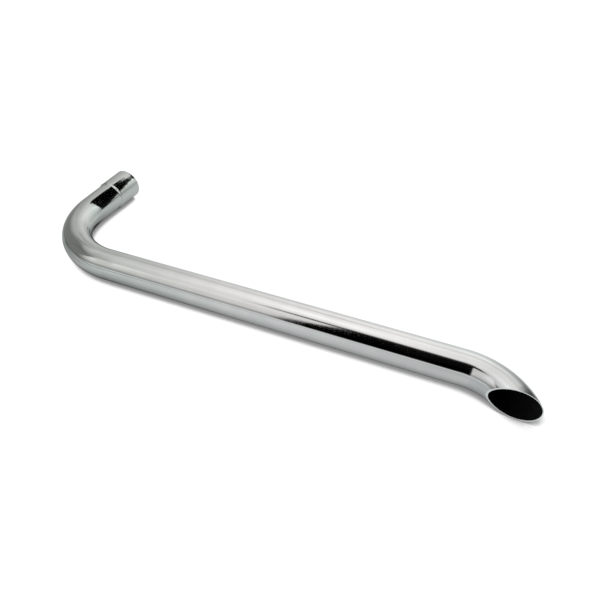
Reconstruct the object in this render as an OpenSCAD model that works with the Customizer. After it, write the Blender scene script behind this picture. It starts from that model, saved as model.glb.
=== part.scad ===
// Side pipe: one length of chromed steel tube, bent twice in the same plane.
// It lies flat: the straight run along X, the inlet leg behind it along +Y,
// and the turned-out outlet in front of it, cut off at a slash.
// The origin is under the middle of the pipe, at the height it lies on.
// All dimensions are in millimetres.

/* [Tube] */
// Outside diameter of the tube
tube_od = 63.5; // [60:0.5:66]
// Wall thickness of the tube
wall = 1.6; // [1.2:0.1:2.4]
// Length of the straight run between the two bends
straight_len = 727; // [300:1:1500]

/* [Inlet end] */
// Centreline radius of the right-angle inlet bend
inlet_bend_r = 158.75; // [110:0.25:220]
// Length of the inlet leg, from the end of its bend to the mouth of the socket
inlet_leg_len = 132; // [90:1:250]
// Depth of the expanded slip-on socket, measured from its mouth
socket_depth = 63.5; // [30:0.5:80]
// How much wider the bore of the socket is than the tube that slips into it
socket_play = 0.5; // [0.3:0.1:1.2]
// Length of the swaged step between the tube and its socket
swage_len = 5; // [3:0.5:12]
// Chamfer left on both edges of the socket's mouth by deburring
mouth_chamfer = 0.3; // [0.1:0.1:0.5]

/* [Outlet end] */
// Centreline radius of the outlet bend
outlet_bend_r = 127; // [115:1:200]
// How far the middle of the slash cut stands out from the straight run's axis
slash_out = 49; // [46:1:60]
// Angle between the slash cut and the straight run, tip outwards
slash_angle = 4.5; // [0:0.5:6]

/* [Hidden] */
// Flats drawn around the tube, and around a full turn of a bend
round_fn = 96;
bend_fn = 360;
$fn = round_fn;

tube_r = tube_od / 2;
bore_r = tube_r - wall;
socket_bore_r = tube_r + socket_play / 2;
socket_r = socket_bore_r + wall;

// Steps along the inlet leg, from the end of the bend
swage_end = inlet_leg_len - socket_depth;
swage_start = swage_end - swage_len;
swage_steps = 8;

// The slash plane passes through the centreline of the outlet bend where it
// stands slash_out from the straight run's axis, after this much of the bend
slash_at = acos(1 - slash_out / outlet_bend_r);
slash_x = straight_len + outlet_bend_r * sin(slash_at);

// The tip of the slash: where its line meets the outside of the bend, as a
// distance along the cut from its middle, by the intersection of a line and
// a circle about the bend's centre
mid_x = outlet_bend_r * sin(slash_at);
mid_y = outlet_bend_r - slash_out;
half_b = mid_x * cos(slash_angle) - mid_y * sin(slash_angle);
tip = -half_b + sqrt(half_b * half_b - mid_x * mid_x - mid_y * mid_y
                     + (outlet_bend_r + tube_r) * (outlet_bend_r + tube_r));
tip_x = slash_x + tip * cos(slash_angle);
tip_y = -slash_out - tip * sin(slash_angle);
// The bend is drawn a little further than the tip, and cut back to the slash
outlet_turn = atan2(mid_x + tip * cos(slash_angle), mid_y - tip * sin(slash_angle)) + 6;

// Box of the whole pipe seen from above, which sets the origin
low_x = -inlet_bend_r - socket_r;
high_x = tip_x;
low_y = tip_y;
high_y = inlet_bend_r + inlet_leg_len;
axis_z = socket_r;

// Height of a swaged step: 0 at its start, 1 at its end, level at both
function ease(t) = (1 - cos(180 * t)) / 2;

// Wall of the tube as a flat ring, in the plane square to the tube
module ring() {
    difference() {
        circle(r = tube_r, $fn = round_fn);
        circle(r = bore_r, $fn = round_fn);
    }
}

// A bend of the given centreline radius, turning anticlockwise by turn
// degrees about Z from the +X direction
module bend(radius, turn) {
    rotate_extrude(angle = turn, $fn = bend_fn) translate([radius, 0]) ring();
}

// The straight run, along +X from the origin
module straight_run() {
    rotate([0, 90, 0]) linear_extrude(height = straight_len) ring();
}

// The inlet leg along +Z: plain tube, swaged step, then the socket
module inlet_leg() {
    outer = [for (k = [0 : swage_steps])
        [tube_r + (socket_r - tube_r) * ease(k / swage_steps),
         swage_start + swage_len * k / swage_steps]];
    inner = [for (k = [swage_steps : -1 : 0])
        [bore_r + (socket_bore_r - bore_r) * ease(k / swage_steps),
         swage_start + swage_len * k / swage_steps]];
    rotate_extrude() polygon(concat(
        [[tube_r, 0]],
        outer,
        [[socket_r, inlet_leg_len - mouth_chamfer],
         [socket_r - mouth_chamfer, inlet_leg_len],
         [socket_bore_r + mouth_chamfer, inlet_leg_len],
         [socket_bore_r, inlet_leg_len - mouth_chamfer]],
        inner,
        [[bore_r, 0]]));
}

// The outlet bend, with everything beyond the slash plane sawn away
module outlet_end() {
    difference() {
        translate([straight_len, -outlet_bend_r, 0])
            rotate([0, 0, 90]) mirror([0, 1, 0]) bend(outlet_bend_r, outlet_turn);
        translate([slash_x, -slash_out, 0]) rotate([0, 0, -slash_angle])
            translate([-200, -200, -100]) cube([400, 200, 200]);
    }
}

module side_pipe() {
    color([0.80, 0.82, 0.82])
    translate([-(low_x + high_x) / 2, -(low_y + high_y) / 2, axis_z])
    union() {
        translate([-inlet_bend_r, inlet_bend_r, 0]) rotate([-90, 0, 0]) inlet_leg();
        translate([0, inlet_bend_r, 0]) rotate([0, 0, 180]) bend(inlet_bend_r, 90);
        straight_run();
        outlet_end();
    }
}

side_pipe();
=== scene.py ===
"""Looks of the side pipe: one length of chrome-plated steel tube, bent twice and lying flat.

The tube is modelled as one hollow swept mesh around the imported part, with its
expanded socket, its swaged step, its deburred edges and the slight waviness
that bending and polishing leave. All in metres, in the CAD frame.
"""

import math

import bpy
import numpy as np
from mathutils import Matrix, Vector


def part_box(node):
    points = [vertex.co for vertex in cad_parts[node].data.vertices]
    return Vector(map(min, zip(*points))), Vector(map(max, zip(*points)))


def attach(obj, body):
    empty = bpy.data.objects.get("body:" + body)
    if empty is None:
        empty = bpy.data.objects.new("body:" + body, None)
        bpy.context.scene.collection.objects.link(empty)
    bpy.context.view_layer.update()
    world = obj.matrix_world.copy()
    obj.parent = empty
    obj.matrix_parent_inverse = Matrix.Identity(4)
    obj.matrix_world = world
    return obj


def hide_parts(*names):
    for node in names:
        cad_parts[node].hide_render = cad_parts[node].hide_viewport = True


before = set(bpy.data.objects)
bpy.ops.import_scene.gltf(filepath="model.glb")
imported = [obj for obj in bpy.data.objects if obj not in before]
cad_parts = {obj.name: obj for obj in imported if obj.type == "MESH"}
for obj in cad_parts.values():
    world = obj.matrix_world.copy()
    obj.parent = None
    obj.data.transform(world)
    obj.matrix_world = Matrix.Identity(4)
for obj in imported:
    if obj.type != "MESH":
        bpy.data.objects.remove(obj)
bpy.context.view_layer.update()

# ---------------------------------------------------------------- dimensions
# The same lengths as in the part's source.
TUBE_R = 0.03175
BORE_R = 0.03015
SOCKET_R = 0.0336
SOCKET_BORE_R = 0.0320
SOCKET_LEN = 0.0635
SWAGE_LEN = 0.005
LEG_LEN = 0.132
INLET_R = 0.15875
STRAIGHT_LEN = 0.727
OUTLET_R = 0.127
SLASH_OUT = 0.049
SLASH_TILT = math.radians(4.5)

# Start of the straight run, at the end of the inlet bend
pipe_lo, pipe_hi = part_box("side_pipe")
AXIS_Z = (pipe_lo.z + pipe_hi.z) / 2
START = Vector((pipe_lo.x + INLET_R + SOCKET_R, pipe_hi.y - LEG_LEN - INLET_R, AXIS_Z))

# Distances along the centreline, from the mouth of the socket
S_SOCKET = SOCKET_LEN
S_PLAIN = SOCKET_LEN + SWAGE_LEN
S_BEND1 = LEG_LEN
S_RUN = S_BEND1 + INLET_R * math.pi / 2
S_BEND2 = S_RUN + STRAIGHT_LEN

AROUND = 192


def centreline(s):
    """Points and directions of the tube's axis, seen from above, at distances s from the mouth."""
    a = math.pi + (s - S_BEND1) / INLET_R
    b = (s - S_BEND2) / OUTLET_R
    zero = 0.0 * s
    where = [s <= S_BEND1, s <= S_RUN, s <= S_BEND2]
    x = np.select(where, [START.x - INLET_R + zero, START.x + INLET_R * np.cos(a), START.x + s - S_RUN],
                  START.x + STRAIGHT_LEN + OUTLET_R * np.sin(b))
    y = np.select(where, [START.y + INLET_R + LEG_LEN - s, START.y + INLET_R + INLET_R * np.sin(a),
                          START.y + zero], START.y - OUTLET_R + OUTLET_R * np.cos(b))
    tx = np.select(where, [zero, -np.sin(a), 1 + zero], np.cos(b))
    ty = np.select(where, [zero - 1, np.cos(a), zero], -np.sin(b))
    return x, y, tx, ty


def smooth(t):
    t = np.clip(t, 0.0, 1.0)
    return t * t * t * (t * (6 * t - 15) + 10)


def wall_radius(s, plain, socket):
    """Radius of a skin at s: the socket's, the tube's, and the swaged step between them."""
    return socket + (plain - socket) * smooth((s - S_SOCKET) / SWAGE_LEN)


# Distance from the outlet bend's centre to the slash plane, along the plane's normal
SLASH_K = (OUTLET_R * math.sin(math.acos(1 - SLASH_OUT / OUTLET_R)) * math.sin(SLASH_TILT)
           + (OUTLET_R - SLASH_OUT) * math.cos(SLASH_TILT))

# Angles around the tube, from its right-hand side as it runs, upwards; the seam is underneath
Q = np.arange(AROUND) * 2 * math.pi / AROUND - math.pi / 2


def slash_s(r, inset):
    """How far along the tube each line of a skin of radius r meets the slash plane moved in by inset."""
    # the right-hand side is the inside of the outlet bend
    reach = OUTLET_R - r * np.cos(Q)
    return S_BEND2 + OUTLET_R * (SLASH_TILT + np.arccos((SLASH_K + inset) / reach))


# ---------------------------------------------------------------- waviness
def wave_field(seed, count, along, around):
    """A few smooth waves over the unrolled tube, periodic around it, of mean square one half."""
    rng = np.random.default_rng(seed)
    k = rng.uniform(along[0], along[1], count)
    m = rng.integers(around[0], around[1] + 1, count)
    phase = rng.uniform(0, 2 * math.pi, count)
    sign = rng.choice([-1.0, 1.0], count)
    weight = rng.uniform(0.5, 1.0, count)
    weight /= np.sqrt((weight ** 2).sum())

    def at(s, q):
        out = 0.0
        for i in range(count):
            out = out + weight[i] * np.sin(2 * math.pi * s / k[i] + sign[i] * m[i] * q + phase[i])
        return out
    return at


run_waves = wave_field(11, 9, (0.09, 0.30), (0, 3))
bend_waves = wave_field(23, 12, (0.050, 0.140), (2, 6))
crumple = wave_field(41, 14, (0.020, 0.045), (1, 5))


def window(s, a, b, soft):
    """1 between a and b, with soft shoulders outside them."""
    return smooth((s - (a - soft)) / soft) * smooth(((b + soft) - s) / soft)


def skin_offset(s, q):
    """How far the outside skin sinks below the true tube, in metres (never above it)."""
    amount = 0.012e-3 * (run_waves(s, q) + 3)
    amount = amount + 0.055e-3 * window(s, S_BEND1 + 0.01, S_RUN, 0.05) * (bend_waves(s, q) + 3)
    amount = amount + 0.018e-3 * window(s, S_BEND1 + 0.02, S_RUN - 0.02, 0.04) * (crumple(s, q) + 3)
    amount = amount + 0.022e-3 * window(s, S_BEND2, S_BEND2 + 0.16, 0.04) * (bend_waves(s, q) + 3)
    # the waviness dies away at the mouth, so that its edge stays true
    return np.maximum(amount, 0.0) * smooth(s / 0.004)


# ---------------------------------------------------------------- the tube's mesh
def spread(a, b, n, end=True):
    return list(np.linspace(a, b, n, endpoint=end))


RIM = 0.00028          # radius of the deburred edges
SUPPORT = 0.00012      # a loop this far from an edge keeps the skin's own shading

# Stations of the outside skin, from the mouth to the outlet bend
outer_s = ([RIM, RIM + SUPPORT]
           + spread(0.0018, S_SOCKET - 0.0006, 20)
           + spread(S_SOCKET, S_PLAIN, 15)
           + spread(S_PLAIN + 0.0006, S_BEND1, 26, False)
           + spread(S_BEND1, S_RUN, 116, False)
           + spread(S_RUN, S_BEND2, 100, False))
# Stations of the bore, coarser since nothing shines in it
inner_s = ([RIM, RIM + SUPPORT, 0.003]
           + spread(0.010, S_SOCKET - 0.0006, 4)
           + spread(S_SOCKET, S_PLAIN, 8)
           + spread(S_PLAIN + 0.0006, S_BEND1, 5, False)
           + spread(S_BEND1, S_RUN, 28, False)
           + spread(S_RUN, S_BEND2, 14, False))
# Steps of the outlet bend, from its start (0) to the slash (1)
OUTER_STEPS = 68
INNER_STEPS = 26

rows, grains = [], []


def add_row(s, r, off=0.0):
    """One closed loop of points around the tube; returns its place in the chain."""
    s = s + 0.0 * Q
    r = r + 0.0 * Q
    x, y, tx, ty = centreline(s)
    rr = r - off
    rows.append(np.stack([x + ty * rr * np.cos(Q), y - tx * rr * np.cos(Q), AXIS_Z + rr * np.sin(Q)], axis=1))
    grains.append(np.stack([TUBE_R * np.cos(Q), TUBE_R * np.sin(Q), s], axis=1))
    return len(rows) - 1


def outer_row(s, r):
    return add_row(s, r, skin_offset(s + 0.0 * Q, Q))


chain = []       # (row, kind): 0 outside, 1 bore, 2 cut edge

for s in outer_s:
    chain.append((outer_row(s, wall_radius(s, TUBE_R, SOCKET_R)), 0))

# In the outlet bend the loops lean over step by step until the last lies along the slash
last = RIM + SUPPORT + 0.0012
for i in range(OUTER_STEPS):
    chain.append((outer_row(S_BEND2 + (slash_s(TUBE_R, last) - S_BEND2) * i / OUTER_STEPS, TUBE_R), 0))
for inset in (last, RIM + SUPPORT, RIM):
    chain.append((outer_row(slash_s(TUBE_R, inset), TUBE_R), 0))

# A quarter round, from along the skin to across the end: how far in from the skin, and back from the end
arc = [(1 - math.cos(a), 1 - math.sin(a)) for a in np.linspace(0, math.pi / 2, 5)][1:]

# The slash edge: outside round, flat cut, inside round
for into, back in arc:
    s = slash_s(TUBE_R - RIM * into, RIM * back)
    chain.append((add_row(s, TUBE_R - RIM * into, skin_offset(s, Q) * (1 - into)), 2))
for r in (TUBE_R - RIM - SUPPORT, BORE_R + RIM + SUPPORT):
    chain.append((add_row(slash_s(r, 0.0), r), 2))
for into, back in reversed(arc):
    chain.append((add_row(slash_s(BORE_R + RIM * into, RIM * back), BORE_R + RIM * into), 2))

# The bore, from the slash back to the mouth
last = RIM + SUPPORT + 0.002
for inset in (RIM, RIM + SUPPORT, last):
    chain.append((add_row(slash_s(BORE_R, inset), BORE_R), 1))
for i in reversed(range(INNER_STEPS)):
    chain.append((add_row(S_BEND2 + (slash_s(BORE_R, last) - S_BEND2) * i / INNER_STEPS, BORE_R), 1))
for s in reversed(inner_s):
    chain.append((add_row(s, wall_radius(s, BORE_R, SOCKET_BORE_R)), 1))

# The mouth's edge: inside round, flat end, outside round
for into, back in arc:
    chain.append((add_row(RIM * back, SOCKET_BORE_R + RIM * into), 2))
for r in (SOCKET_BORE_R + RIM + SUPPORT, SOCKET_R - RIM - SUPPORT):
    chain.append((add_row(0.0, r), 2))
for into, back in reversed(arc):
    chain.append((add_row(RIM * back, SOCKET_R - RIM * into), 2))

verts = np.concatenate(rows)
count = len(chain)
face_v = np.empty((count, AROUND, 4), dtype=np.int64)
face_mat = np.empty((count, AROUND), dtype=np.int64)
ring = np.arange(AROUND)
for k in range(count):
    (a, ma), (b, mb) = chain[k], chain[(k + 1) % count]
    face_v[k] = np.stack([a * AROUND + ring, a * AROUND + (ring + 1) % AROUND,
                          b * AROUND + (ring + 1) % AROUND, b * AROUND + ring], axis=1)
    face_mat[k] = ma if ma == mb else 2

mesh = bpy.data.meshes.new("side_pipe_skin")
mesh.from_pydata(verts.tolist(), [], face_v.reshape(-1, 4).tolist())
mesh.update()

# UVs: along the tube in u, around it in v
step_len = [0.0]
for k in range(1, count + 1):
    step_len.append(step_len[-1] + float(np.linalg.norm(rows[chain[k % count][0]] - rows[chain[k - 1][0]], axis=1).mean()))
run = np.array(step_len) / step_len[-1]
u0 = np.repeat(run[:-1], AROUND)
u1 = np.repeat(run[1:], AROUND)
v0 = np.tile(ring / AROUND, count)
v1 = np.tile((ring + 1) / AROUND, count)
coords = np.stack([u0, v0, u0, v1, u1, v1, u1, v0], axis=1)
uv = mesh.uv_layers.new(name="UVMap")
uv.data.foreach_set("uv", coords.ravel())

# The straightened tube's own coordinates, for grain that follows the bends
grain = mesh.attributes.new(name="grain", type="FLOAT_VECTOR", domain="POINT")
grain.data.foreach_set("vector", np.concatenate(grains).ravel())

mesh.polygons.foreach_set("use_smooth", [True] * len(mesh.polygons))
mesh.polygons.foreach_set("material_index", face_mat.ravel())
mesh.update()

pipe = bpy.data.objects.new("side_pipe_body", mesh)
bpy.context.scene.collection.objects.link(pipe)


# ---------------------------------------------------------------- node helpers
class Graph:
    """Short calls for building a node tree."""

    def __init__(self, tree):
        self.t = tree
        tree.nodes.clear()

    def node(self, kind, **settings):
        n = self.t.nodes.new(kind)
        for k, v in settings.items():
            setattr(n, k, v)
        return n

    def link(self, a, b):
        self.t.links.new(a, b)

    def put(self, socket, value):
        if isinstance(value, bpy.types.NodeSocket):
            self.link(value, socket)
        else:
            socket.default_value = value

    def math(self, op, a, b=0.0, c=0.0, clamp=False):
        n = self.node("ShaderNodeMath", operation=op, use_clamp=clamp)
        for s, v in zip(n.inputs, (a, b, c)):
            self.put(s, v)
        return n.outputs[0]

    def add(self, a, b): return self.math("ADD", a, b)
    def sub(self, a, b): return self.math("SUBTRACT", a, b)
    def mul(self, a, b): return self.math("MULTIPLY", a, b)

    def step(self, x, a, b, lo=0.0, hi=1.0):
        """Smooth step of x from lo at a to hi at b."""
        n = self.node("ShaderNodeMapRange", interpolation_type="SMOOTHSTEP", clamp=True)
        self.put(n.inputs["Value"], x)
        if a > b:
            a, b, lo, hi = b, a, hi, lo
        self.put(n.inputs["From Min"], a)
        self.put(n.inputs["From Max"], b)
        self.put(n.inputs["To Min"], lo)
        self.put(n.inputs["To Max"], hi)
        return n.outputs[0]

    def remap(self, x, a, b, lo, hi):
        n = self.node("ShaderNodeMapRange", interpolation_type="LINEAR", clamp=True)
        for name, v in (("Value", x), ("From Min", a), ("From Max", b), ("To Min", lo), ("To Max", hi)):
            self.put(n.inputs[name], v)
        return n.outputs[0]

    def bump_at(self, x, mid, half):
        """A smooth hump of height 1 at mid, nothing beyond half on either side."""
        return self.mul(self.step(x, mid - half, mid), self.step(x, mid + half, mid))

    def mixv(self, f, a, b):
        n = self.node("ShaderNodeMix", data_type="FLOAT")
        self.put(n.inputs[0], f)
        self.put(n.inputs[2], a)
        self.put(n.inputs[3], b)
        return n.outputs[0]

    def mixc(self, f, a, b, blend="MIX"):
        n = self.node("ShaderNodeMix", data_type="RGBA", blend_type=blend)
        self.put(n.inputs[0], f)
        self.put(n.inputs[6], a if isinstance(a, bpy.types.NodeSocket) else (*a, 1.0))
        self.put(n.inputs[7], b if isinstance(b, bpy.types.NodeSocket) else (*b, 1.0))
        return n.outputs[2]

    def noise(self, vector, scale, detail=3.0, rough=0.5, distortion=0.0):
        n = self.node("ShaderNodeTexNoise", noise_dimensions="3D")
        self.link(vector, n.inputs["Vector"])
        n.inputs["Scale"].default_value = scale
        n.inputs["Detail"].default_value = detail
        n.inputs["Roughness"].default_value = rough
        n.inputs["Distortion"].default_value = distortion
        return n.outputs[0]

    def scaled(self, vector, x, y, z):
        n = self.node("ShaderNodeMapping")
        self.link(vector, n.inputs["Vector"])
        n.inputs["Scale"].default_value = (x, y, z)
        return n.outputs[0]

    def gauss(self, x, mid, width):
        """A bell of height 1 at mid."""
        t = self.mul(self.sub(x, mid), 1 / width)
        return self.math("EXPONENT", self.mul(self.mul(t, t), -0.5))

    def ramp(self, x, stops, scale=1.0, kind="B_SPLINE"):
        """A curve through (position, value) stops, in x's own units."""
        lo, hi = stops[0][0], stops[-1][0]
        f = self.remap(x, lo, hi, 0.0, 1.0)
        n = self.node("ShaderNodeValToRGB")
        n.color_ramp.interpolation = kind
        els = n.color_ramp.elements
        while len(els) > 1:
            els.remove(els[-1])
        for k, (p, v) in enumerate(stops):
            e = els[0] if k == 0 else els.new((p - lo) / (hi - lo))
            e.position = (p - lo) / (hi - lo)
            e.color = (v / 2, v / 2, v / 2, 1)
        self.link(f, n.inputs[0])
        return self.mul(n.outputs[0], 2.0 * scale)


# ---------------------------------------------------------------- materials
def chrome():
    m = bpy.data.materials.new("chrome")
    m.use_nodes = True
    g = Graph(m.node_tree)
    out = g.node("ShaderNodeOutputMaterial")
    p = g.node("ShaderNodeBsdfPrincipled")
    g.link(p.outputs[0], out.inputs[0])
    p.inputs["Metallic"].default_value = 1.0
    attr = g.node("ShaderNodeAttribute", attribute_name="grain")
    tube = attr.outputs["Vector"]
    sep = g.node("ShaderNodeSeparateXYZ")
    g.link(tube, sep.inputs[0])
    s = sep.outputs[2]

    # Polishing marks around the tube, drawing lines along it, a faint cloudiness
    around = g.noise(g.scaled(tube, 14.0, 14.0, 900.0), 1.0, 3.0, 0.6)
    along = g.noise(g.scaled(tube, 620.0, 620.0, 5.0), 1.0, 3.0, 0.55)
    drawn = g.noise(g.scaled(tube, 230.0, 230.0, 2.2), 1.0, 2.0, 0.5)
    cloud = g.noise(tube, 26.0, 4.0, 0.55)
    peel = g.noise(tube, 150.0, 2.0, 0.5)
    smear = g.noise(g.scaled(tube, 95.0, 95.0, 9.0), 1.0, 4.0, 0.6)

    bend = g.mul(g.step(s, 0.105, 0.150), g.step(s, 0.470, 0.380))
    leg = g.mul(g.step(s, 0.002, 0.006), g.step(s, 0.165, 0.125))
    inlet = g.step(s, 0.68, 0.38)          # the inlet end is a shade duller than the rest
    turn = g.step(s, 1.115, 1.165)         # and so is the front of the outlet bend
    inner = g.mul(sep.outputs[0], 1 / TUBE_R)
    upper = g.mul(sep.outputs[1], 1 / TUBE_R)

    tone = g.add(g.mul(along, 0.5), g.mul(cloud, 0.5))
    col = g.mixc(g.step(tone, 0.36, 0.64), (0.557, 0.552, 0.552), (0.612, 0.602, 0.598))
    col = g.mixc(inlet, col, (0.816, 0.850, 0.824), "MULTIPLY")
    col = g.mixc(g.mul(turn, g.step(inner, -0.25, 0.35)), col, (0.830, 0.845, 0.850), "MULTIPLY")
    # painted shade on the outer back of the tip, darkening its reflection there, thickest at the cut
    end = g.add(s, g.mul(inner, 0.0135))
    tip_shade_noise = g.noise(tube, 170.0, 3.0, 0.6)
    tip_shade = g.mul(g.step(end, 1.196, 1.232), g.step(inner, 0.30, -0.35))
    tip_shade = g.mul(tip_shade, g.step(g.add(tip_shade_noise, g.mul(tip_shade, 0.30)), 0.40, 0.72))
    col = g.mixc(tip_shade, col, (0.085, 0.090, 0.088))
    # thin darker lines, left by drawing the tube
    lines = g.noise(g.scaled(tube, 480.0, 480.0, 1.6), 1.0, 2.0, 0.5)
    col = g.mixc(g.mul(g.step(lines, 0.58, 0.70), 0.30), col, (0.40, 0.41, 0.41))
    streak = g.mul(bend, g.mul(g.step(smear, 0.52, 0.70), 0.75))
    col = g.mixc(streak, col, (0.300, 0.320, 0.290))
    g.link(col, p.inputs["Base Color"])

    rough = g.add(g.mul(g.step(around, 0.35, 0.75), 0.030), g.mul(g.step(along, 0.40, 0.75), 0.030))
    rough = g.add(rough, g.mul(g.step(cloud, 0.42, 0.72), 0.040))
    rough = g.mul(rough, g.sub(1.0, g.mul(leg, 0.7)))
    # the bend's streaks and the tip's painted shade are also rougher
    rough = g.add(rough, g.add(g.mul(streak, 0.05), g.mul(tip_shade, 0.15)))
    g.link(g.add(rough, 0.040), p.inputs["Roughness"])

    # Heights in metres
    height = g.add(g.mul(around, 1.5e-6), g.mul(along, 4.0e-6))
    height = g.add(height, g.mul(drawn, 2.0e-5))
    height = g.add(height, g.mul(peel, g.add(6.0e-6, g.add(g.mul(leg, 2.2e-5), g.mul(bend, 3.2e-5)))))
    b = g.node("ShaderNodeBump")
    b.inputs["Strength"].default_value = 1.0
    b.inputs["Distance"].default_value = 1.0
    g.link(height, b.inputs["Height"])
    g.link(b.outputs[0], p.inputs["Normal"])
    return m


def cut_edge():
    """The sawn and deburred ends: plated like the rest, but duller."""
    m = bpy.data.materials.new("chrome_cut_edge")
    m.use_nodes = True
    g = Graph(m.node_tree)
    out = g.node("ShaderNodeOutputMaterial")
    p = g.node("ShaderNodeBsdfPrincipled")
    g.link(p.outputs[0], out.inputs[0])
    p.inputs["Metallic"].default_value = 1.0
    coord = g.node("ShaderNodeTexCoord").outputs["Object"]
    saw = g.noise(g.scaled(coord, 2600.0, 500.0, 500.0), 1.0, 3.0, 0.6)
    mottle = g.noise(coord, 240.0, 3.0, 0.6)
    col = g.mixc(g.step(mottle, 0.35, 0.7), (0.70, 0.71, 0.71), (0.82, 0.83, 0.83))
    g.link(col, p.inputs["Base Color"])
    g.link(g.remap(saw, 0.3, 0.7, 0.20, 0.38), p.inputs["Roughness"])
    b = g.node("ShaderNodeBump")
    b.inputs["Strength"].default_value = 0.5
    b.inputs["Distance"].default_value = 0.00003
    g.link(saw, b.inputs["Height"])
    g.link(b.outputs[0], p.inputs["Normal"])
    return m


def bore():
    """Inside the tube: nearly black, rough and not metallic."""
    m = bpy.data.materials.new("near_black_bore")
    m.use_nodes = True
    g = Graph(m.node_tree)
    out = g.node("ShaderNodeOutputMaterial")
    p = g.node("ShaderNodeBsdfPrincipled")
    g.link(p.outputs[0], out.inputs[0])
    p.inputs["Metallic"].default_value = 0.0
    p.inputs["Specular IOR Level"].default_value = 0.10
    coord = g.node("ShaderNodeTexCoord").outputs["Object"]
    mottle = g.noise(coord, 90.0, 5.0, 0.6)
    scale = g.noise(coord, 900.0, 3.0, 0.6)
    col = g.mixc(g.step(mottle, 0.35, 0.7), (0.0030, 0.0028, 0.0028), (0.0070, 0.0064, 0.0060))
    g.link(col, p.inputs["Base Color"])
    g.link(g.remap(scale, 0.3, 0.7, 0.62, 0.9), p.inputs["Roughness"])
    b = g.node("ShaderNodeBump")
    b.inputs["Strength"].default_value = 0.6
    b.inputs["Distance"].default_value = 0.0001
    g.link(g.add(scale, g.mul(mottle, 1.5)), b.inputs["Height"])
    g.link(b.outputs[0], p.inputs["Normal"])
    return m


for material in (chrome(), bore(), cut_edge()):
    mesh.materials.append(material)

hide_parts("side_pipe")
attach(pipe, "root")

# ---------------------------------------------------------------- studio
def set_piece(name, corners, material, camera=False):
    """One flat panel of the studio; the camera sees only the floor."""
    panel = bpy.data.meshes.new(name)
    panel.from_pydata(corners, [], [(0, 1, 2, 3)])
    panel.update()
    panel.materials.append(material)
    o = bpy.data.objects.new(name, panel)
    bpy.context.scene.collection.objects.link(o)
    o.visible_camera = camera
    return o


def stage_material(name):
    m = bpy.data.materials.new(name)
    m.use_nodes = True
    g = Graph(m.node_tree)
    out = g.node("ShaderNodeOutputMaterial")
    sep = g.node("ShaderNodeSeparateXYZ")
    g.link(g.node("ShaderNodeNewGeometry").outputs["Position"], sep.inputs[0])
    return m, g, out, sep.outputs[0], sep.outputs[1], sep.outputs[2]


def glow(g, out, colour, cover=None):
    """Light given off by a panel, with cover saying how much of it is there at all."""
    e = g.node("ShaderNodeEmission")
    g.put(e.inputs["Color"], colour)
    if cover is None:
        g.link(e.outputs[0], out.inputs[0])
        return
    mix = g.node("ShaderNodeMixShader")
    g.put(mix.inputs[0], cover)
    g.link(g.node("ShaderNodeBsdfTransparent").outputs[0], mix.inputs[1])
    g.link(e.outputs[0], mix.inputs[2])
    g.link(mix.outputs[0], out.inputs[0])


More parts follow.
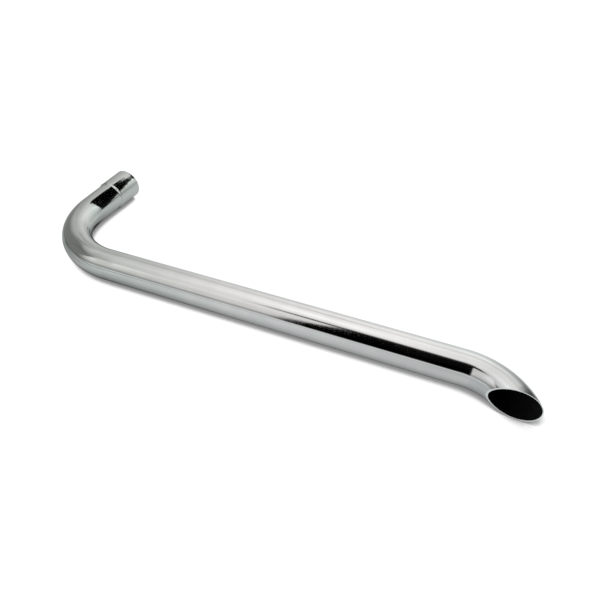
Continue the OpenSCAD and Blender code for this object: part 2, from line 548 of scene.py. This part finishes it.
def pale_floor():
    """Pale paper that glows by itself, with painted shade where the pipe would hide the light from it."""
    m, g, out, x, y, z = stage_material("pale_floor")
    # What the pipe mirrors: painted light that falls off behind and towards the left
    wide = g.node("ShaderNodeAmbientOcclusion", samples=8)
    wide.inputs["Distance"].default_value = 0.25
    front = g.ramp(x, [(-1.1, 0.42), (-0.85, 0.74), (-0.66, 0.98), (-0.50, 1.0), (-0.30, 1.03), (-0.10, 1.0), (0.6, 1.0)])
    close = g.ramp(x, [(-1.1, 0.36), (-0.62, 0.42), (-0.50, 0.55), (-0.41, 0.62), (-0.29, 0.75), (-0.14, 0.85),
                       (0.0, 0.88), (0.14, 0.87), (0.28, 0.83), (0.6, 0.80)])
    beyond = g.ramp(x, [(-1.1, 0.36), (-0.62, 0.50), (-0.52, 0.70), (-0.45, 0.98), (-0.39, 0.97), (-0.30, 0.84), (-0.22, 0.81),
                        (-0.06, 0.95), (0.09, 0.93), (0.25, 0.88), (0.6, 0.84)])
    behind = g.mixv(g.step(y, 0.02, 0.13), close, beyond)
    level = g.mixv(g.step(y, -0.12, 0.0), front, behind)
    # painted shade on the paper beyond the outlet's tip
    tip = g.mul(g.step(x, 0.50, 0.66), g.step(y, 0.0, 0.25))
    level = g.mul(level, g.sub(1.0, g.mul(tip, 0.55)))
    # painted shade: the hollows beside the inlet bend are darker than those along the run
    deep = g.ramp(x, [(-0.75, 3.0), (-0.53, 2.9), (-0.47, 2.3), (-0.40, 1.9), (-0.30, 1.5), (-0.20, 1.25),
                      (-0.08, 1.05), (0.10, 0.95), (0.6, 0.92)])
    hollow = g.ramp(x, [(-0.75, 3.0), (-0.545, 3.0), (-0.520, 2.2), (-0.50, 1.0), (-0.465, 0.50), (-0.43, 0.60), (-0.30, 0.85), (-0.10, 0.95), (0.6, 1.0)])
    deep = g.mixv(g.step(y, -0.12, -0.06), deep, hollow)
    level = g.mul(level, g.math("POWER", wide.outputs["AO"], deep))
    # painted contact shadow close along the pipe
    contact = g.mixv(g.step(x, -0.22, 0.10), g.step(wide.outputs["AO"], 0.10, 0.48), g.step(wide.outputs["AO"], 0.08, 0.42))
    contact = g.mixv(g.step(x, -0.30, -0.42), contact, g.step(wide.outputs["AO"], 0.16, 0.56))
    level = g.mul(level, g.mixv(g.step(y, -0.10, -0.05), contact, g.step(wide.outputs["AO"], 0.12, 0.33)))
    # beside the inlet bend, outside, the paper is in the shade of the room's darker side
    beside = g.mul(g.step(x, -0.42, -0.54), g.mul(g.step(y, -0.32, -0.13), g.step(y, -0.02, -0.09)))
    level = g.mul(level, g.sub(1.0, g.mul(beside, 0.46)))
    # painted shade on the paper further out to the left
    corner = g.mul(g.step(x, -0.68, -0.95), g.mul(g.step(y, -0.36, -0.16), g.step(y, 0.18, 0.02)))
    level = g.mul(level, g.sub(1.0, g.mul(corner, 0.45)))
    # and nothing reaches the paper right under the leg
    under = g.step(g.add(g.add(x, 0.4446), g.mul(y, 0.38)), 0.006, -0.006)
    under = g.mul(under, g.mul(g.mul(g.step(y, 0.004, 0.026), g.step(y, 0.056, 0.030)), g.step(x, -0.545, -0.535)))
    level = g.mul(level, g.sub(1.0, g.mul(under, 0.82)))
    # painted shade on the paper in front of the run
    ahead = g.mul(g.step(y, -0.14, -0.30), g.step(x, -0.02, 0.40))
    level = g.mul(level, g.sub(1.0, g.mul(ahead, 0.20)))
    # painted shade also deepens slowly towards the front, on the right
    level = g.mul(level, g.mixv(g.step(x, -0.50, -0.25), 1.0, g.ramp(y, [(-1.3, 0.84), (-0.8, 0.86), (-0.45, 0.94), (-0.28, 1.0)])))
    paper = g.node("ShaderNodeEmission")
    g.link(g.mixc(1.0, (0.955, 1.0, 1.0), level, "MULTIPLY"), paper.inputs["Color"])
    # What the camera sees: exposed to clear white, with a narrow shadow left around the pipe
    narrow = g.node("ShaderNodeAmbientOcclusion", samples=24)
    narrow.inputs["Distance"].default_value = 0.045
    shown = g.node("ShaderNodeEmission")
    clear = g.ramp(narrow.outputs["AO"], [(0.0, 0.10), (0.12, 0.21), (0.20, 0.27), (0.28, 0.34), (0.33, 0.55),
                                          (0.40, 0.97), (0.46, 1.05), (1.0, 1.06)], kind="LINEAR")
    # Round the outlet the shadow keeps the same width, although less of the pipe hangs over the paper
    about = g.node("ShaderNodeAmbientOcclusion", samples=16)
    about.inputs["Distance"].default_value = 0.10
    edge = g.ramp(x, [(0.40, 0.20), (0.430, 0.30), (0.449, 0.36), (0.468, 0.56), (0.485, 0.65), (0.501, 0.71), (0.517, 0.79),
                      (0.528, 0.80), (0.537, 0.79), (0.60, 0.78)], kind="LINEAR")
    width = g.ramp(x, [(0.40, 0.12), (0.449, 0.12), (0.468, 0.18), (0.517, 0.16), (0.531, 0.09), (0.537, 0.06), (0.60, 0.06)], kind="LINEAR")
    tip_end = g.add(0.30, g.mul(0.76, g.math("DIVIDE", g.add(g.sub(about.outputs["AO"], edge), width), width, clamp=True)))
    at_tip = g.mul(g.step(x, 0.415, 0.440), g.step(y, -0.125, -0.145))
    clear = g.math("MINIMUM", clear, g.mixv(at_tip, 1.06, tip_end))
    g.link(clear, shown.inputs["Color"])
    mix = g.node("ShaderNodeMixShader")
    g.link(g.node("ShaderNodeLightPath").outputs["Is Camera Ray"], mix.inputs[0])
    g.link(paper.outputs[0], mix.inputs[1])
    g.link(shown.outputs[0], mix.inputs[2])
    g.link(mix.outputs[0], out.inputs[0])
    return m


FLOOR = 9.0
set_piece("studio_floor", [(-FLOOR, -FLOOR, 0), (FLOOR, -FLOOR, 0), (FLOOR, FLOOR, 0), (-FLOOR, FLOOR, 0)],
          pale_floor(), camera=True)


def soft_light():
    """The large light overhead, brightest in two places, fading at its edges."""
    m, g, out, x, y, z = stage_material("soft_light")
    level = g.ramp(x, [(-1.60, 0.36), (-1.46, 0.50), (-1.33, 0.78), (-1.22, 0.96), (-1.10, 1.04), (-0.97, 1.08), (-0.72, 1.16),
                       (-0.48, 1.27), (-0.20, 1.27), (0.20, 1.25), (0.70, 1.15), (1.30, 1.0)])
    level = g.mul(level, g.ramp(y, [(-1.2, 0.90), (-0.40, 0.93), (-0.22, 0.98), (0.05, 1.01), (0.35, 0.98),
                                    (0.53, 0.93), (0.80, 0.87), (1.1, 0.85)]))
    level = g.add(level, g.mul(0.36, g.mul(g.gauss(x, -0.08, 0.20), g.gauss(y, 0.03, 0.18))))
    level = g.add(level, g.mul(0.28, g.mul(g.gauss(x, 0.15, 0.24), g.gauss(y, 0.48, 0.13))))
    rear = g.ramp(x, [(-1.6, 0.78), (-0.95, 0.76), (-0.70, 0.73), (-0.30, 0.73), (-0.15, 0.77), (0.0, 0.82), (0.14, 0.87), (0.28, 0.97),
                      (0.6, 1.05), (1.3, 1.05)])
    front = g.mixv(g.step(x, -0.28, -0.56), -0.38, -0.66)
    front = g.mixv(g.step(x, -0.88, -1.16), front, -0.52)
    cover = g.mul(g.step(g.sub(y, rear), 0.02, -0.02), g.step(g.sub(y, front), -0.12, 0.12))
    cover = g.mul(cover, g.step(x, -1.60, -1.46))
    glow(g, out, g.mixc(1.0, (1.0, 0.998, 0.988), level, "MULTIPLY"), cover)
    return m


set_piece("soft_light", [(-1.6, -1.25, 1.0), (1.3, -1.25, 1.0), (1.3, 1.15, 1.0), (-1.6, 1.15, 1.0)], soft_light())


def backdrop():
    """The pale backdrop, darker to the left, cut off in a curve at the top right."""
    m, g, out, x, y, z = stage_material("backdrop")
    P = g.mul(g.math("ARCTAN2", g.sub(z, AXIS_Z), 2.52), 180 / math.pi)
    up = g.ramp(P, [(-1, 0.95), (8, 1.06), (16, 1.21), (23, 1.34), (31, 1.42), (37, 1.32), (41, 1.20), (46, 1.20)])
    across = g.ramp(x, [(-1.3, 0.80), (-0.9, 0.92), (-0.5, 1.0), (0.1, 1.02), (0.5, 0.92), (1.0, 0.96), (1.4, 0.95), (2.3, 0.75)])
    left_up = g.ramp(P, [(-1, 0.92), (16, 0.97), (30, 1.02), (46, 1.0)])
    left_across = g.ramp(x, [(-2.6, 0.74), (-2.06, 0.85), (-1.6, 0.97), (-1.2, 1.10), (-0.8, 1.25), (-0.5, 1.3)])
    level = g.mixv(g.step(x, -0.75, -1.55), g.mul(up, across), g.mul(left_up, left_across))
    level = g.add(level, g.mul(0.24, g.mul(g.step(x, 0.10, 0.60), g.bump_at(P, 33, 10))))
    edge = g.ramp(x, [(-2.9, 1.33), (-1.22, 1.33), (-1.0, 1.27), (-0.45, 1.28), (-0.1, 1.27), (0.1, 1.22), (0.3, 1.185),
                      (0.6, 1.115), (0.96, 0.995), (1.3, 0.872), (1.6, 0.74), (1.9, 0.56), (2.1, 0.40), (2.25, 0.20), (2.35, 0.0)], 2.0)
    cover = g.step(g.sub(z, edge), 0.03, -0.03)
    cover = g.mul(cover, g.step(x, -2.9, -2.3))
    tint = g.mixc(g.step(x, -0.2, 0.3), (1.0, 1.0, 0.99), (0.955, 1.0, 0.985))
    glow(g, out, g.mixc(1.0, tint, level, "MULTIPLY"), cover)
    return m


set_piece("backdrop", [(-2.9, 2.4, 0.0), (2.8, 2.4, 0.0), (2.8, 2.4, 2.75), (-2.9, 2.4, 2.75)], backdrop())


def dark_card():
    """A thin dark card on the right, which shades the reflections at the outlet's tip."""
    m, g, out, x, y, z = stage_material("dark_card")
    cover = g.ramp(x, [(0.42, 0.0), (0.50, 0.11), (0.62, 0.29), (0.76, 0.49), (0.88, 0.68), (1.0, 0.78), (1.6, 0.80)])
    glow(g, out, (0.02, 0.02, 0.02, 1.0), g.mul(cover, g.step(z, 1.5, 1.1)))
    return m


set_piece("dark_card", [(0.40, 1.05, 0.0), (1.60, 1.05, 0.0), (1.60, 1.05, 1.5), (0.40, 1.05, 1.5)], dark_card())


def front_card():
    """A small dark card in front, over the outlet: it draws out the end of the dark band."""
    m, g, out, x, y, z = stage_material("front_card")
    cover = g.mul(g.step(x, 0.08, 0.22), g.mul(g.step(y, -0.44, -0.39), g.step(y, -0.28, -0.32)))
    veil = g.mul(g.step(x, 0.04, 0.20), g.mul(g.step(y, -1.0, -0.85), g.step(y, -0.36, -0.40)))
    glow(g, out, (0.02, 0.02, 0.02, 1.0), g.math("MAXIMUM", g.mul(cover, 0.93), g.mul(veil, 0.18)))
    return m


set_piece("front_card", [(0.03, -1.02, 0.6), (0.36, -1.02, 0.6), (0.36, -0.27, 0.6), (0.03, -0.27, 0.6)], front_card())


def studio_world():
    """The room around the panels: pale on the left and in front, dark through its openings."""
    w = bpy.data.worlds.new("studio")
    bpy.context.scene.world = w
    w.use_nodes = True
    g = Graph(w.node_tree)
    out = g.node("ShaderNodeOutputWorld")
    bg = g.node("ShaderNodeBackground")
    g.link(bg.outputs[0], out.inputs[0])
    d = g.node("ShaderNodeTexCoord").outputs["Generated"]
    sep = g.node("ShaderNodeSeparateXYZ")
    g.link(d, sep.inputs[0])
    X, Y, Z = sep.outputs
    # P turns about the straight run's direction: 0 behind it, 90 overhead, 180 in front of it
    P = g.math("MULTIPLY", g.math("ARCTAN2", Z, Y), 180 / math.pi)

    # Behind: dark on the right beyond the backdrop, grey on the left
    rear = g.mixv(g.step(X, -0.20, -0.32), 0.0, 0.90)
    rear = g.mixv(g.step(X, -0.50, -0.60), rear, g.ramp(P, [(-5, 0.62), (20, 0.68), (38, 0.80), (50, 0.72), (60, 0.6)]))
    rear = g.mixv(g.mul(g.step(X, 0.15, 0.35), g.step(P, 56, 66)), rear, 0.95)

    # In front
    across = g.ramp(P, [(96, 1.20), (120, 1.13), (150, 1.02), (172, 0.90), (185, 0.94)])
    slant = g.ramp(P, [(96, 1.18), (112, 1.15), (122, 1.22), (134, 1.05), (150, 0.97), (172, 0.92), (185, 0.95)])
    left = g.ramp(P, [(96, 1.0), (106, 1.05), (118, 1.52), (128, 1.44), (142, 1.14), (152, 0.90), (162, 0.92), (172, 1.06),
                      (185, 1.25)])
    fore = g.mixv(g.step(X, -0.24, -0.42), across, slant)
    fore = g.mixv(g.step(X, -0.48, -0.60), fore, left)
    e = g.mixv(g.step(P, 90, 102), rear, fore)

    # Far left: a darker side of the room
    slope = g.add(P, g.mul(g.add(X, 0.60), 120.0))
    patch = g.mul(g.step(X, -0.60, -0.70), g.mul(g.step(P, 46, 62), g.step(slope, 112, 100)))
    e = g.mixv(patch, e, 0.33)
    e = g.mixv(g.step(g.add(X, g.mul(g.step(P, 104, 118), 0.06)), -0.64, -0.90), e, 0.33)

    # The line where the sweep meets the tent, low in front
    seam = g.mul(g.step(P, 152, 164), g.step(P, 174, 167))
    e = g.mixv(g.mul(seam, 0.44), e, 0.0)

    # The dark opening in front, with a narrow arm to the left along its top
    body_edge = g.ramp(P, [(100, 0.240), (116, 0.250), (124, 0.264), (132, 0.278), (142, 0.310), (155, 0.332), (170, 0.340)])
    inside = g.step(g.add(X, body_edge), -0.012, 0.012)
    inside = g.mul(inside, g.mul(g.step(P, 94.5, 104.5), g.step(P, 174.2, 167.8)))
    arm = g.mul(g.bump_at(P, 110.5, 8.5), g.step(X, -0.415, -0.30))
    dark = g.math("MAXIMUM", inside, g.mul(arm, 0.97))
    dark = g.mul(dark, g.step(X, 0.62, 0.50))
    e = g.mixv(dark, e, 0.0)

    warm = g.mixc(g.step(P, 174, 160), (0.955, 1.0, 1.0), (1.0, 0.998, 0.985))
    col = g.mixc(1.0, warm, e, "MULTIPLY")
    seen = g.node("ShaderNodeLightPath").outputs["Is Camera Ray"]
    g.link(g.mixc(seen, col, (1.2, 1.2, 1.2)), bg.inputs["Color"])
    bg.inputs["Strength"].default_value = 1.0
    return w


studio_world()

# ---------------------------------------------------------------- camera
cam_data = bpy.data.cameras.new("camera")
cam = bpy.data.objects.new("camera", cam_data)
bpy.context.scene.collection.objects.link(cam)
cam_data.sensor_width = 36.0
cam_data.lens = 39.874
cam.location = (0.460503, -0.960023, 0.832496)
look = Vector((0.065464, -0.066156, 0.0336)) - cam.location
cam.rotation_mode = "QUATERNION"
cam.rotation_quaternion = look.to_track_quat("-Z", "Y")
cam_data.clip_start, cam_data.clip_end = 0.01, 60.0
bpy.context.scene.camera = cam
bpy.context.scene.view_settings.view_transform = "Standard"
